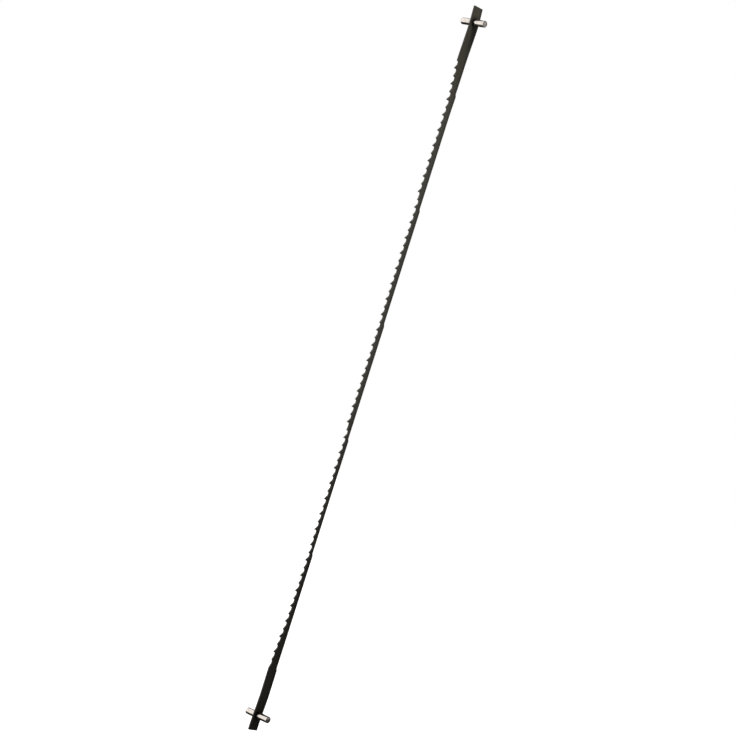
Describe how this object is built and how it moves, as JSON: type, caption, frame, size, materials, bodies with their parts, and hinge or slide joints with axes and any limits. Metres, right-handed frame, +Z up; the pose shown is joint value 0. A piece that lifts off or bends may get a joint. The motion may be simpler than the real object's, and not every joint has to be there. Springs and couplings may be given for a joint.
{
  "type": "pin-end saw blade",
  "caption": "Thin black steel fretwork saw blade with fine alternately set teeth and a round cross pin pressed through each end.",
  "frame": {"origin": "midway between the two cross pins, in the middle of the strip's thickness and width", "axes": "+Z runs up the blade from the lower pin to the upper one, the teeth look towards -X and cut on the way down (-Z), and the cross pins lie along Y"},
  "size_m": [0.0022, 0.0054, 0.1326],
  "materials": {
    "blackened_steel": "black oxide, satin",
    "bright_steel": "bright drawn steel wire, cut and tumbled"
  },
  "bodies": {
    "root": {"blade": "blackened_steel", "upper_pin": "bright_steel", "lower_pin": "bright_steel"}
  },
  "joints": []
}
